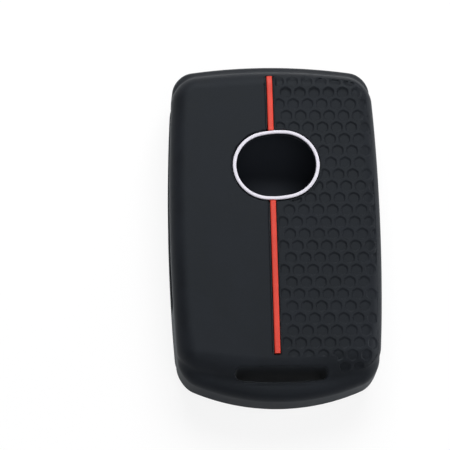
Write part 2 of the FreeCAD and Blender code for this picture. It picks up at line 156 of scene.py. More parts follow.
class KeyCoverGrip(bpy.types.PropertyGroup):
    """Sizes of the honeycomb grip."""
    pitch: length("Cell pitch", "Distance between neighbouring cells", 0.00345)
    wall: length("Cell wall", "Width of the ridges between cells", 0.0006)
    depth: length("Cell depth", "Depth of the pockets", 0.00036)
    end_depth: length("End depth", "Further depth of the pockets at both ends", 0.0004)
    first_offset: length("First cell offset", "Place of the first cell across", 0.0014)
    first_level: length("First cell level", "Level of the first row", 0.0305)
    border: length("Grip border", "Plain border inside the sleeve's outline", 0.0011)
    head_border: length("Head border", "Plain border below the pillow's head", 0.0015)
    foot_border: length("Foot border", "Plain border above the pillow's foot", 0.0005)
    border_turn: length("Border turn", "Level beyond which the border turns into an end's", 0.0240)
    margin: length("Grip margin", "Plain margin inside the grip's edge", 0.0003)
    foot: length("Grip foot", "Level of the grip's end beside the stripe", -0.0329)
    corner_drop: length("Corner drop", "How much lower the grip runs at the corner", 0.0042)
    corner_offset: length("Corner offset", "Where the grip begins to run lower", 0.0125)
    corner_run: length("Corner run", "Width over which the grip runs lower", 0.0020)
    seat: length("Grip seat", "Depth of the sleeve's relief under the grip", 0.0009)


class KeyCoverFinish(bpy.types.PropertyGroup):
    """Colours of the silicones."""
    black: colour("Black silicone", "Base colour of the sleeve", (0.0078, 0.0089, 0.0116))
    white: colour("White silicone", "Base colour of the ring", (0.61, 0.59, 0.65))
    red: colour("Red silicone", "Base colour of the stripes", (0.55, 0.043, 0.025))


class KeyCoverStage(bpy.types.PropertyGroup):
    """Camera and floor."""
    distance: length("Camera distance", "From the camera to the cover's middle", 0.72547)
    pixels_per_mm: number("Pixels per millimetre", "Scale of the picture at the cover's middle", 4.1587)
    picture_size: number("Picture size", "Width of the picture in pixels", 450.0)
    middle_right: length("Middle right", "How far the cover lies right of the picture's middle", 0.01173)
    middle_down: length("Middle down", "How far the cover lies below the picture's middle", 0.00275)
    from_below: degrees("From below", "How far the camera looks up the cover", 18.0)
    from_left: degrees("From the left", "How far the camera looks across the cover", 3.83)
    lean: degrees("Lean", "How far the cover leans left in the picture", 1.45)
    floor: colour("Floor", "Colour of the floor", (0.90, 0.90, 0.90))
    bleach: number("Bleach", "How far the camera sees the floor white", 0.85, min=0.0, max=1.0)


GROUPS = {
    "key_cover_form": KeyCoverForm,
    "key_cover_openings": KeyCoverOpenings,
    "key_cover_inlays": KeyCoverInlays,
    "key_cover_grip": KeyCoverGrip,
    "key_cover_finish": KeyCoverFinish,
    "key_cover_stage": KeyCoverStage,
}

# Mouldings: a guard for divisions, the step for normals in millimetres, the grooves, the least share of
# the crease, and multiples of the border's turn, of the lip and of the wall
TINY = 1e-9
NORMAL_STEP = 0.06
GROOVES = 3
GROOVE_SLANT = math.radians(58)
CREASE_LEAST = 0.02
BORDER_STRETCH = 1.3
RELIEF_LEVELS = (2, 5)
RELIEF_INSETS = (0.5, 1.8)
SEAT_LIP = 0.4
LANYARD_LIP = 0.6
HOLLOW_WALLS = 3

# Honeycomb, in millimetres. A pocket's rings have a level past its edge, a share of its depth and a tilt,
# and a cell too small for a pocket has plain rings at shares of its spokes
SPOKES = 24
SPOKE_SHARES = (0.2, 0.4, 0.6, 0.8)
POCKET_RINGS = ((0.05, 0.0, 0.0), (0.0, 0.05, 0.5), (-0.24, 0.85, 0.5), (-0.42, 1.0, 0.0))
LEAST_POCKET = 0.6
END_MIDDLE = -1.0
END_REACHES = (33.5, 35.0)
GRIP_LIFT = 0.015
GRIP_TUCK = 0.6

# Silicone: the black's own values, and shares of the cloudy tone, the gloss and the waves
BLACK = {"roughness": 0.58, "shine": 0.18, "grain": 0.22, "velvet": 0.06}
CLOUD_SHARE = 0.65
GLOSS_SPREAD = 0.20
WAVE_SHARE = 0.6
COOL_TINT = (0.84, 0.94, 1.0, 1.0)

# Stage: the lights have a name, a place, a size and a power
LIGHTS = (
    ("top_softbox", (0.03, 0.42, 0.50), 0.50, 5.1),
    ("right_softbox", (0.45, 0.0, 0.06), 0.12, 0.8),
    ("front_fill", (0.04, -0.31, 0.60), 0.40, 1.1),
)
ROOM_AXIS = (0.14, -0.22, -0.95)
ROOM_RANGE = (-0.75, 0.05)
ROOM_DIM = (0.12, 0.12, 0.125, 1.0)
ROOM_BRIGHT = (0.70, 0.71, 0.74, 1.0)


def millimetres(group):
    """All lengths of a property group in millimetres."""
    names = [name for name, prop in group.bl_rna.properties.items()
             if prop.type == "FLOAT" and prop.unit == "LENGTH"]
    return SimpleNamespace(**{name: getattr(group, name) / MM for name in names})


# Distance fields, in millimetres: negative inside a shape and positive outside

def round_max(first, second, radius):
    """Both shapes at once, with a rounded edge: min(max(a, b), -r) plus the length of (a + r, b + r)
    where these are positive."""
    corner = np.hypot(np.maximum(first + radius, 0), np.maximum(second + radius, 0))
    return np.minimum(np.maximum(first, second), -radius) + corner


def round_min(first, second, radius):
    """Either shape, with a filleted crease: the rounded edge of the two outsides."""
    return -round_max(-first, -second, radius)


def cut(shape, tool, radius):
    """A shape less a tool, with a rounded lip."""
    return round_max(shape, -tool, radius)


def ramp(value, start, end):
    """Smooth step from 0 at start to 1 at end: 3 t^2 - 2 t^3."""
    share = np.clip((value - start) / (end - start), 0, 1)
    return share * share * (3 - 2 * share)


def outline(parts, head_corner, foot_corner):
    """Sides, a head and a foot, met by rounded corners."""
    side, top, bottom = parts
    return np.maximum(round_max(side, top, head_corner), round_max(side, bottom, foot_corner))


class CoverField:
    """Distance fields of the cover and its openings."""

    def __init__(self, scene):
        self.form = millimetres(scene.key_cover_form)
        self.openings = millimetres(scene.key_cover_openings)
        self.inlays = millimetres(scene.key_cover_inlays)
        self.grip = millimetres(scene.key_cover_grip)
        self.oval_turn = scene.key_cover_inlays.oval_turn
        self.middle = self.form.thickness / 2

    def outline_parts(self, x, y, half_width, head, foot, foot_radius):
        """Distances to the barrelled sides, the head arc and the foot arc."""
        form = self.form
        shift = form.side_radius - half_width
        side = np.hypot(np.abs(x) + shift, y - form.widest_level) - form.side_radius
        top = np.hypot(x, y - head + form.head_radius) - form.head_radius
        bottom = np.hypot(x, y - foot - foot_radius) - foot_radius
        return side, top, bottom

    def pillow_parts(self, x, y):
        """Distances to the sides, head and foot of the thick part."""
        form = self.form
        return self.outline_parts(x, y, form.half_width, form.half_length - form.head_drop,
                                  form.foot_drop - form.half_length, form.pillow_foot)

    def pillow_outline(self, x, y):
        """Distance to the outline of the thick part."""
        return outline(self.pillow_parts(x, y), self.form.head_corner, self.form.foot_corner)

    def edge_radius(self, x, y):
        """Edge rounding, which turns from the sides' to the shoulder's and the foot's with the share of
        the outline's direction that points up or down."""
        form = self.form
        side, top, bottom = (np.maximum(part + form.turn_zone, 0) for part in self.pillow_parts(x, y))
        upward = top / np.maximum(np.hypot(side, top), TINY)
        downward = bottom / np.maximum(np.hypot(side, bottom), TINY)
        return (form.side_edge + (form.head_edge - form.side_edge) * upward ** 2
                + (form.foot_edge - form.side_edge) * downward ** 2)

    def pillow(self, x, y, z):
        """The thick part: its outline and its thickness, met by the edge rounding."""
        level = np.abs(z - self.middle) - self.middle
        return round_max(self.pillow_outline(x, y), level, self.edge_radius(x, y))

    def rim(self, x, y, z):
        """The thinner part whose ends are the neck and the loop bar."""
        form = self.form
        parts = self.outline_parts(x, y, form.half_width - form.neck_inset, form.half_length,
                                   -form.half_length, form.foot_radius)
        flat = outline(parts, form.neck_corner, form.bar_corner)
        return round_max(flat, np.abs(z - self.middle) - form.neck_thickness / 2, form.neck_edge)

    def back_groove(self, x, y, z, level):
        """A slanting cylinder with round ends over the edge between the left side and the back."""
        sizes = self.openings
        half = math.sqrt(0.5)
        edge = self.form.side_edge
        reach = edge + sizes.groove_radius - sizes.groove_depth
        start = (edge - self.form.half_width - reach * half, level, edge - reach * half)
        axis = (half * math.cos(GROOVE_SLANT), -math.sin(GROOVE_SLANT), -half * math.cos(GROOVE_SLANT))
        away = [value - origin for value, origin in zip((x, y, z), start)]
        along = np.clip(sum(part * share for part, share in zip(away, axis)),
                        -sizes.groove_length / 2, sizes.groove_length / 2)
        rest = [part - along * share for part, share in zip(away, axis)]
        return np.sqrt(sum(part * part for part in rest)) - sizes.groove_radius

    def skin(self, x, y, z):
        """The outside before anything is cut through it, with a crease that opens at the ends."""
        form = self.form
        ends = np.maximum(ramp(y, form.crease_head, form.crease_head + form.crease_run),
                          ramp(-y, -form.crease_foot, form.crease_run - form.crease_foot))
        share = CREASE_LEAST + (1 - CREASE_LEAST) * ends
        return round_min(self.pillow(x, y, z), self.rim(x, y, z), form.crease * share)

    def oval(self, x, y):
        """Distance to the ring's outer edge: two end arcs and two flatter tangent arcs, turned a little."""
        sizes = self.inlays
        right, rise = x - sizes.oval_offset, y - sizes.oval_level
        along, aside = math.cos(self.oval_turn), math.sin(self.oval_turn)
        across = np.abs(right * along + rise * aside)
        up = np.abs(rise * along - right * aside)
        shift = sizes.oval_width / 2 - sizes.oval_end
        half = sizes.oval_height / 2
        flat = (shift ** 2 + half ** 2 - sizes.oval_end ** 2) / (2 * (half - sizes.oval_end))
        drop = flat - half
        at_end = across * drop > shift * (up + drop)
        end = np.hypot(across - shift, up) - sizes.oval_end
        return np.where(at_end, end, np.hypot(across, up + drop) - flat)

    def above_foot(self, x, y):
        """Distance above the grip's lower end, which runs lower at the right corner along 3 t^2 - 2 t^3: the
        height above it, over the length of 1 and the slope there."""
        grip = self.grip
        share = np.clip((x - grip.corner_offset) / grip.corner_run, 0, 1)
        level = grip.foot - grip.corner_drop * share * share * (3 - 2 * share)
        slope = 6 * share * (1 - share) * grip.corner_drop / grip.corner_run
        return (y - level) / np.hypot(1, slope)

    def grip_inset(self, x, y):
        """How far a place on the front lies inside the edge of the honeycomb grip."""
        sizes = self.inlays
        stripe_edge = sizes.stripe_offset + sizes.stripe_width / 2 + sizes.gap
        grip = self.grip
        turned = BORDER_STRETCH * grip.border_turn
        border = (grip.border + (grip.head_border - grip.border) * ramp(y, grip.border_turn, turned)
                  + (grip.foot_border - grip.border) * ramp(-y, grip.border_turn, turned))
        borders = (x - stripe_edge, self.oval(x, y) - sizes.gap, self.above_foot(x, y),
                   -border - self.pillow_outline(x, y))
        return np.minimum.reduce(borders)

    def over_the_edge(self, across, up):
        """Lays a flat sheet over the front: past the flat face a point at a distance e beyond it turns
        down the edge's arc, to r sin(e / r) out and r (1 - cos(e / r)) down."""
        flat = np.stack([across, up, np.zeros_like(across)], axis=1)
        slope = gradient(lambda x, y, z: self.pillow_outline(x, y), flat)
        radius = self.edge_radius(across, up)
        past = np.maximum(self.pillow_outline(across, up) + radius, 0)
        turn = np.minimum(past / radius, math.pi / 2)
        back = past - radius * np.sin(turn)
        laid = flat - slope * back[:, None]
        laid[:, 2] = self.form.thickness - radius * (1 - np.cos(turn))
        return laid

    def grip_room(self, place):
        """How far places on a flat sheet, once this is laid over the front, lie inside the grip's edge."""
        laid = self.over_the_edge(*place.reshape(-1, 2).T)
        return self.grip_inset(*laid[:, :2].T).reshape(place.shape[:-1])

    def key_space(self, x, y, z):
        """The hollow for the key: a wall inside the pillow, between two levels."""
        sizes = self.openings
        hollow = self.pillow(x, y, z) + self.form.wall
        levels = np.maximum(y - sizes.key_top, sizes.key_bottom - y)
        return round_max(hollow, levels, self.form.wall)

    def edge_opening(self, y, z, size):
        """A rectangle with rounded corners, seen from the side, that hangs from the slot's top."""
        sizes = self.openings
        tall = np.abs(y - sizes.slot_top + size / 2) - size / 2
        wide = np.abs(z - self.middle) - sizes.slot_width / 2
        return round_max(tall, wide, sizes.slot_corner)

    def lanyard_slot(self, x, y):
        """A slot right through the cover: a straight upper edge, and a lower edge along a shallow arc."""
        sizes = self.openings
        centre = sizes.lanyard_bar - self.form.half_length + sizes.lanyard_arc
        tall = np.maximum(y - sizes.lanyard_top, np.hypot(x, y - centre) - sizes.lanyard_arc)
        wide = np.abs(x - sizes.lanyard_offset) - sizes.lanyard_width / 2
        return round_max(wide, tall, sizes.lanyard_corner)

    def inlay_seats(self, x, y, z):
        """Grooves for the ring and the stripes: outlines grown by the gap, open above a floor."""
        sizes = self.inlays
        stripe = np.abs(x - sizes.stripe_offset) - sizes.stripe_width / 2 - sizes.gap
        head = self.over_the_edge(np.array([sizes.stripe_offset]), np.array([sizes.stripe_head]))[0, 1]
        stripe = np.maximum.reduce((stripe, sizes.stripe_foot - sizes.gap - y, y - head - sizes.gap))
        seats = np.minimum(stripe, self.oval(x, y) - sizes.gap)
        floor = np.maximum(-sizes.depth - self.pillow(x, y, z), self.middle - z)
        return np.maximum.reduce((seats, floor, -self.rim(x, y, z)))

    def sleeve(self, x, y, z):
        """The whole sleeve: its skin, relieved under the grip, less the hollow and all openings."""
        lip = self.form.lip
        front = ramp(z, *[self.middle + share * lip for share in RELIEF_LEVELS])
        within = ramp(self.grip_inset(x, y), *[share * lip for share in RELIEF_INSETS])
        shape = self.skin(x, y, z) + self.grip.seat * front * within
        for index in range(GROOVES):
            level = self.openings.groove_level - index * self.openings.groove_pitch
            shape = cut(shape, self.back_groove(x, y, z, level), lip)
        half_hollow = self.form.half_width - HOLLOW_WALLS * self.form.wall
        window = np.maximum(self.oval(x, y) + self.inlays.ring_line, self.middle - z)
        slot = np.maximum(self.edge_opening(y, z, self.openings.slot_length), x + half_hollow)
        edge_window = np.maximum(self.edge_opening(y, z, self.openings.window_length), half_hollow - x)
        shape = cut(shape, self.inlay_seats(x, y, z), SEAT_LIP * lip)
        for tool in (self.key_space(x, y, z), window, slot, edge_window):
            shape = cut(shape, tool, lip)
        return cut(shape, self.lanyard_slot(x, y), LANYARD_LIP * lip)


def gradient(field, points, step=0.02):
    """Slopes of a field at points, by central differences."""
    shifts = np.eye(3) * step
    slopes = [field(*(points + shift).T) - field(*(points - shift).T) for shift in shifts]
    return np.stack(slopes, axis=1) / (2 * step)


def onto_surface(field, points, rounds=4, reach=0.4, least=0.25):
    """Moves points onto a field's surface: p - d g / |g|^2, a few times, by at most a reach and with a
    least |g|^2."""
    for _ in range(rounds):
        slope = gradient(field, points)
        step = field(*points.T) / np.maximum(np.sum(slope * slope, axis=1), least)
        points = points - slope * np.clip(step, -reach, reach)[:, None]
    return points


def unit(vectors):
    """Vectors at length 1."""
    return vectors / np.maximum(np.linalg.norm(vectors, axis=-1, keepdims=True), TINY)


def net_points(values, axes, step):
    """One point in each grid cell that the surface crosses, at the mean of the crossings on the cell's
    edges, and the index of each cell's point."""
    inside = values < 0
    cells = tuple(size - 1 for size in values.shape)
    total = np.zeros(cells + (3,))
    count = np.zeros(cells)
    origin = np.stack(np.meshgrid(*[axis[:-1] for axis in axes], indexing="ij"), axis=-1)
    for axis in range(3):
        others = [other for other in range(3) if other != axis]
        for corner in ((0, 0), (0, 1), (1, 0), (1, 1)):
            offset = np.zeros(3, int)
            offset[others] = corner
            place = origin + offset * step
            start = tuple(slice(shift, shift + size) for shift, size in zip(offset, cells))
            offset[axis] = 1
            end = tuple(slice(shift, shift + size) for shift, size in zip(offset, cells))
            crossed = inside[start] != inside[end]
            share = np.where(crossed, values[start] / np.where(crossed, values[start] - values[end], 1), 0)
            place[..., axis] += share * step
            total += place * crossed[..., None]
            count += crossed
    used = count > 0
    index = np.full(cells, -1)
    index[used] = np.arange(used.sum())
    return total[used] / count[used][:, None], index


def net_quads(inside, index):
    """One quad, facing outwards, round each grid edge that the surface crosses."""
    cells = index.shape
    quads = []
    for axis in range(3):
        one, two = (axis + 1) % 3, (axis + 2) % 3
        start = [slice(1, size) for size in cells]
        start[axis] = slice(0, cells[axis])
        end = list(start)
        end[axis] = slice(1, cells[axis] + 1)
        crossed = inside[tuple(start)] != inside[tuple(end)]
        ring = []
        for corner in ((0, 0), (1, 0), (1, 1), (0, 1)):
            cell = np.argwhere(crossed)
            cell[:, [one, two]] += corner
            ring.append(index[tuple(cell.T)])
        quad = np.stack(ring, axis=1)
        leaving = inside[tuple(start)][crossed]
        quads.append(np.where(leaving[:, None], quad, quad[:, ::-1]))
    return np.concatenate(quads)


def surface_net(field, low, high, step):
    """A closed mesh round a field, with its points drawn onto the surface."""
    axes = [np.arange(start, end + step, step) for start, end in zip(low, high)]
    values = field(*np.meshgrid(*axes, indexing="ij"))
    points, index = net_points(values, axes, step)
    return onto_surface(field, points), net_quads(values < 0, index)


def grid_quads(rows, columns, closed):
    """Corner indices of the quads of a grid whose columns wrap round, as a closed one's rows do too."""
    row = np.arange(rows if closed else rows - 1)
    row, column = np.meshgrid(row, np.arange(columns), indexing="ij")
    next_row = (row + 1) % rows
    next_column = (column + 1) % columns
    corners = ((row, column), (next_row, column), (next_row, next_column), (row, next_column))
    return np.stack([(one * columns + two).ravel() for one, two in corners], axis=1)


def make_piece(name, points, faces, material, normals=None):
    """A smooth mesh object from points in millimetres, which rides on the cover's body."""
    mesh = bpy.data.meshes.new(name)
    mesh.from_pydata((points * MM).tolist(), [], faces)
    mesh.validate()
    mesh.shade_smooth()
    if normals is not None:
        mesh.normals_split_custom_set_from_vertices(normals.tolist())
    mesh.materials.append(material)
    piece = bpy.data.objects.new(name, mesh)
    bpy.context.scene.collection.objects.link(piece)
    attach(piece, BODY)
    return piece


# Shader expressions

class Shade:
    """A node tree's socket, with the operators that shader expressions use."""

    def __init__(self, tree, socket=None):
        self.tree = tree
        self.socket = socket

    def node(self, kind, settings=None, output=0, **inputs):
        """Adds a node: settings are set first, then the values or links of its sockets by name."""
        node = self.tree.nodes.new(kind)
        for name, value in (settings or {}).items():
            setattr(node, name, value)
        self.feed(node.inputs, **inputs)
        return Shade(self.tree, node.outputs[output])

    def feed(self, sockets, **inputs):
        """Feeds sockets, by name or by index, with links or with values."""
        for name, value in inputs.items():
            target = sockets[int(name[1:]) if name[0] == "_" else name.replace("_", " ")]
            if isinstance(value, Shade):
                self.tree.links.new(value.socket, target)
            else:
                target.default_value = value

    def math(self, operation, *values):
        """A Math node on values."""
        return self.node("ShaderNodeMath", {"operation": operation},
                         **{f"_{index}": value for index, value in enumerate(values)})

    def __add__(self, other):
        return self.math("ADD", self, other)

    __radd__ = __add__

    def __mul__(self, other):
        return self.math("MULTIPLY", self, other)

    __rmul__ = __mul__

    def clamp_between(self, low, high):
        """This value spread from low to high onto 0 to 1, smoothly."""
        return self.node("ShaderNodeMapRange", {"interpolation_type": "SMOOTHSTEP"}, Value=self,
                         From_Min=low, From_Max=high)

    def noise(self, size, detail=2.0, roughness=0.5):
        """Noise with features of a size in millimetres, on Object coordinates."""
        place = self.node("ShaderNodeTexCoord", output="Object")
        return self.node("ShaderNodeTexNoise", output="Fac", Vector=place, Scale=1 / (size * MM),
                         Detail=detail, Roughness=roughness)

    def mix(self, share, first, second):
        """A colour between two colours."""
        return self.node("ShaderNodeMix", {"data_type": "RGBA"}, 2, Factor=share, _6=first, _7=second)

    def bump(self, height, strength, distance):
        """A normal bumped by a height, at a distance in millimetres."""
        return self.node("ShaderNodeBump", Height=height, Strength=strength, Distance=distance * MM)


def new_material(name):
    """An empty material, its shader expressions and its surface shader's inputs."""
    material = bpy.data.materials.new(name)
    material.use_nodes = True
    shader = material.node_tree.nodes["Principled BSDF"]
    return material, Shade(material.node_tree), shader.inputs


def tint(rgb, share):
    """A colour made darker or lighter by a share."""
    return tuple(min(channel * share, 1.0) for channel in rgb) + (1.0,)


def box_mask(shade, low_corner, high_corner, edge=0.3 * MM):
    """1 inside a box on Object coordinates and 0 outside it, with soft edges."""
    place = shade.node("ShaderNodeTexCoord", output="Object")
    mask = 1.0
    for axis, low, high in zip("XYZ", low_corner, high_corner):
        along = shade.node("ShaderNodeSeparateXYZ", output=axis, Vector=place)
        mask = along.clamp_between(low, low + edge) * along.clamp_between(high, high - edge) * mask
    return mask


def silicone(name, rgb, roughness, shine, grain, velvet=0.0, inside=None):
    """Moulded silicone: a fine spark-eroded grain, soft cloudy tone, a slightly uneven gloss and a
    velvety sheen. The key space, given as a low and a high corner, is painted paler: painted light that
    stands in for the light falling into it through the window."""
    material, shade, inputs = new_material(name)
    cloud = shade.noise(size=7.0, detail=3.0)
    fine = shade.noise(size=0.35, roughness=0.6)
    tone = (cloud * CLOUD_SHARE + fine * (1 - CLOUD_SHARE)).clamp_between(low=0.3, high=0.7)
    base = shade.mix(tone, tint(rgb, 1 - grain), tint(rgb, 1 + grain))
    # Painted light: the key space is painted 4.4 times paler, standing in for light that falls in through
    # the window.
    if inside:
        base = shade.mix(box_mask(shade, *inside), base, tint(rgb, share=4.4))
    relief = fine + shade.noise(size=1.6) * WAVE_SHARE
    shade.feed(inputs, Base_Color=base, Roughness=roughness - GLOSS_SPREAD / 2 + GLOSS_SPREAD * cloud,
               Normal=shade.bump(relief, strength=0.22, distance=0.045), IOR=1.42,
               Specular_IOR_Level=shine, Sheen_Weight=velvet, Sheen_Roughness=0.35)
    if velvet:
        shade.feed(inputs, Specular_Tint=COOL_TINT, Sheen_Tint=COOL_TINT)
    return material


class KEYCOVER_OT_sleeve(bpy.types.Operator):
    """Builds the soft moulded sleeve round its distance field"""
    bl_idname = "keycover.sleeve"
    bl_label = "Sleeve"

    def execute(self, context):
        scene = context.scene
        cover = CoverField(scene)
        room = 1.0
        low = [value / MM - room for value in SLEEVE_LOW]
        high = [value / MM + room for value in SLEEVE_HIGH]
        points, quads = surface_net(cover.sleeve, low, high, step=0.56)
        normals = unit(gradient(cover.sleeve, points, NORMAL_STEP))
        # The key space's box, which the material paints paler as painted light.
        inside = self.painted_light_box(scene)
        material = silicone("black_silicone", scene.key_cover_finish.black, inside=inside, **BLACK)
        piece = make_piece("silicone_sleeve", points, quads.tolist(), material, normals)
        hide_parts("sleeve")
        return {"FINISHED"}

    def painted_light_box(self, scene):
        """Corners of the key space's part that is painted paler, painted light for the light through the
        window: short of its sides and ends, and into its walls.
        """
        form, openings = scene.key_cover_form, scene.key_cover_openings
        margin, short = 0.2 * MM, 3.2 * MM
        side = form.half_width - form.wall - margin
        return ((-side, openings.key_bottom + short, form.wall - margin),
                (side, openings.key_top - short, form.thickness - form.wall + margin))


def rounded_hexagon(across, up, half_width, power=9):
    """Distance-like field of a six-sided cell with soft corners: the ninth root of the sum of the
    ninth powers of the distances along its three directions, less its half width."""
    angles = (0, math.pi / 3, -math.pi / 3)
    spans = [np.abs(across * math.cos(angle) + up * math.sin(angle)) for angle in angles]
    return sum(span ** power for span in spans) ** (1 / power) - half_width


def span_to(field, start, directions, level, reach, rounds=20):
    """How far from a start along each direction a field stays below a level, by halving a span."""
    low = np.zeros(directions.shape[:-1])
    high = np.full_like(low, reach)
    for _ in range(rounds):
        middle = (low + high) / 2
        within = field(start[:, None] + directions * middle[..., None]) < level
        low, high = np.where(within, middle, low), np.where(within, high, middle)
    return low


def shell(points, normals, quads, triangles, thickness):
    """Closes a sheet: a second layer below it, turned over, and walls along the sheet's open edges."""
    count = len(points)
    sides = [faces[:, [one, (one + 1) % faces.shape[1]]] for faces in (quads, triangles)
             for one in range(faces.shape[1])]
    start, end = np.concatenate(sides).T
    is_open = ~np.isin(start * count + end, end * count + start)
    start, end = start[is_open], end[is_open]
    walls = np.stack([end, start, start + count, end + count], axis=1)
    parts = (quads, walls, quads[:, ::-1] + count, triangles, triangles[:, ::-1] + count)
    faces = [face for part in parts for face in part.tolist()]
    return np.concatenate([points, points - normals * thickness]), faces


def cell_middles(grip, form, first_column=-2):
    """Middles of the honeycomb's cells over the front: rows half the root of 3 pitches apart, with every
    other row half a pitch to the right."""
    row_step = grip.pitch * math.sqrt(3) / 2
    rows = np.arange(math.floor((-form.half_length - grip.first_level) / row_step),
                     math.ceil((form.half_length - grip.first_level) / row_step) + 1)
    columns = np.arange(first_column, math.ceil(form.half_width / grip.pitch) + 1)
    row, column = (part.ravel() for part in np.meshgrid(rows, columns, indexing="ij"))
    return np.stack([grip.first_offset + grip.pitch * (column + row % 2 / 2),
                     grip.first_level + row_step * row], axis=1)


def drawn_in(cover, edge, rounds=4, reach=0.8, least=0.04):
    """Draws points of a flat sheet that lie past the grip's edge in to it, as onto_surface does."""
    for _ in range(rounds):
        flat = np.pad(edge, ((0, 0), (0, 1)))
        slope = gradient(lambda x, y, z: cover.grip_room(np.stack([x, y], axis=-1)), flat)[:, :2]
        past = np.minimum(cover.grip_room(edge), 0) / np.maximum(np.sum(slope * slope, axis=1), least)
        edge = edge - slope * np.clip(past, -reach, 0)[:, None]
    return edge


class KEYCOVER_OT_grip(bpy.types.Operator):
    """Builds the honeycomb grip on the right half of the front"""
    bl_idname = "keycover.grip"
    bl_label = "Honeycomb grip"

    def execute(self, context):
        cover = CoverField(context.scene)
        sheet, height, tilt, heart, quads, fans = self.cells(cover)
        points = onto_surface(cover.skin, cover.over_the_edge(*sheet.T))
        upright = unit(gradient(cover.skin, points, NORMAL_STEP))
        inward = points[heart] - points
        inward = unit(inward - upright * np.sum(inward * upright, axis=1, keepdims=True))
        normals = unit(upright * np.cos(tilt)[:, None] + inward * np.sin(tilt)[:, None])
        normals = np.concatenate([normals, -upright])
        tuck = 1 - ramp(cover.grip_inset(*points[:, :2].T), 0, cover.grip.margin)
        lift = GRIP_LIFT - height - GRIP_TUCK * cover.grip.seat * tuck
        points, faces = shell(points + upright * lift[:, None], upright, quads, fans, thickness=0.2)
        material = silicone("black_silicone_grip", context.scene.key_cover_finish.black, **BLACK)
        make_piece("honeycomb_grip", points, faces, material, normals)
        return {"FINISHED"}

    def cells(self, cover):
        """The honeycomb as a flat sheet of rings round each cell: places, depths, tilts of the surface
        towards the cell's heart, indices of the hearts, and faces."""
        grip = cover.grip
        angle = np.arange(SPOKES) * 2 * math.pi / SPOKES
        directions = np.stack([np.cos(angle), np.sin(angle)], axis=1)
        turn = (angle + math.pi / 6) % (math.pi / 3) - math.pi / 6
        spokes = directions * (grip.pitch / 2 / np.cos(turn))[:, None]
        inner = np.concatenate([spokes * share for share in SPOKE_SHARES] + [np.zeros((1, 2))])
        middles = cell_middles(grip, cover.form)
        middles = middles[cover.grip_room(middles[:, None] + inner).max(axis=1) > grip.margin]
        half_width = (grip.pitch - grip.wall) / 2

        def pocket(place):
            away = place - middles[:, None]
            cell = rounded_hexagon(away[..., 0], away[..., 1], half_width)
            return np.maximum(cell, grip.margin - cover.grip_room(place))

        trials = middles[:, None] + inner
        depth_at = pocket(trials)
        lowest = depth_at.argmin(axis=1)
        each = np.arange(len(middles))
        hearts = trials[each, lowest]
        sunk = depth_at[each, lowest] < -LEAST_POCKET
        depths = grip.depth + grip.end_depth * ramp(np.abs(middles[:, 1] - END_MIDDLE), *END_REACHES)
        borders = (middles[:, None] + spokes).reshape(-1, 2).round(decimals=4)
        edge, corner = np.unique(borders, axis=0, return_inverse=True)
        edge = drawn_in(cover, edge)
        fan = np.broadcast_to(directions, (len(middles), SPOKES, 2))
        rings = [corner.reshape(-1, SPOKES)]
        to_edge = edge[rings[0]] - hearts[:, None]
        layers = [(edge, np.zeros(len(edge)), np.zeros(len(edge)))]
        total = len(edge)
        for (level, share, lean), inset in zip(POCKET_RINGS, reversed(SPOKE_SHARES)):
            reach = span_to(pocket, hearts, fan, level, grip.pitch)
            away = np.where(sunk[:, None, None], fan * reach[..., None], to_edge * inset)
            layers.append(((hearts[:, None] + away).reshape(-1, 2), np.repeat(depths * share * sunk, SPOKES),
                           np.repeat(lean * sunk, SPOKES)))
            rings.append(total + np.arange(corner.size).reshape(-1, SPOKES))
            total += corner.size
        layers.append((hearts, depths * sunk, np.zeros(len(hearts))))
        last = total + each
        of_rings = np.tile(np.repeat(last, SPOKES), len(POCKET_RINGS))
        heart = np.concatenate([np.arange(len(edge)), of_rings, last])
        quads = [np.stack([outer, np.roll(outer, -1, axis=1), np.roll(within, -1, axis=1), within], axis=-1)
                 for outer, within in zip(rings, rings[1:])]
        tips = np.broadcast_to(last[:, None], rings[-1].shape)
        fans = np.stack([rings[-1], np.roll(rings[-1], -1, axis=1), tips], axis=-1)
        sheet, height, tilt = (np.concatenate(parts) for parts in zip(*layers))
        return sheet, height, tilt, heart, np.concatenate(quads).reshape(-1, 4), fans.reshape(-1, 3)


def bead_profile(half_width, depth, proud, count=14, power=3, shoulder=0.5, foot=0.35):
    """A closed strip section: sides that draw in down to the depth, and a domed top whose height over
    its half width is (1 - u^3)^(1/3) of the proud part and the side's top."""
    share = np.sin(np.linspace(-math.pi / 2, math.pi / 2, count))
    crown = (1 - np.abs(share) ** power) ** (1 / power)
    top = shoulder * proud
    dome = np.stack([share * half_width, -top + (proud + top) * crown], axis=1)
    base = np.array([[foot * half_width, -depth], [-foot * half_width, -depth]])
    return np.concatenate([dome, base])


def swept(path, across, outward, profile):
    """A profile carried along a path: each point plus its share across and its share outward."""
    sections = path[:, None] + across[:, None] * profile[:, :1] + outward[:, None] * profile[:, 1:]
    return sections.reshape(-1, 3)


class KEYCOVER_OT_ring(bpy.types.Operator):
    """Builds the white ring round the front window"""
    bl_idname = "keycover.ring"
    bl_label = "Window ring"

    def execute(self, context):
        cover = CoverField(context.scene)
        sizes = cover.inlays
        angle = np.linspace(0, 2 * math.pi, num=240, endpoint=False)
        path = np.stack([sizes.oval_offset + sizes.oval_width / 2 * np.cos(angle),
                         sizes.oval_level + sizes.oval_height / 2 * np.sin(angle),
                         np.full_like(angle, cover.form.thickness)], axis=1)

        def line(x, y, z):
            return cover.oval(x, y) + sizes.ring_line / 2

        path = onto_surface(line, path, rounds=6)
        across = unit(gradient(line, path))
        outward = np.tile([0.0, 0.0, 1.0], (len(path), 1))
        profile = bead_profile(sizes.ring_line / 2, sizes.depth, sizes.proud)
        points = swept(path, across, outward, profile)
        quads = grid_quads(len(path), len(profile), closed=True)[:, ::-1]
        material = silicone("white_silicone", context.scene.key_cover_finish.white, roughness=0.42,
                            shine=0.4, grain=0.04)
        piece = make_piece("white_window_ring", points, quads.tolist(), material)
        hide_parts("window_ring")
        return {"FINISHED"}


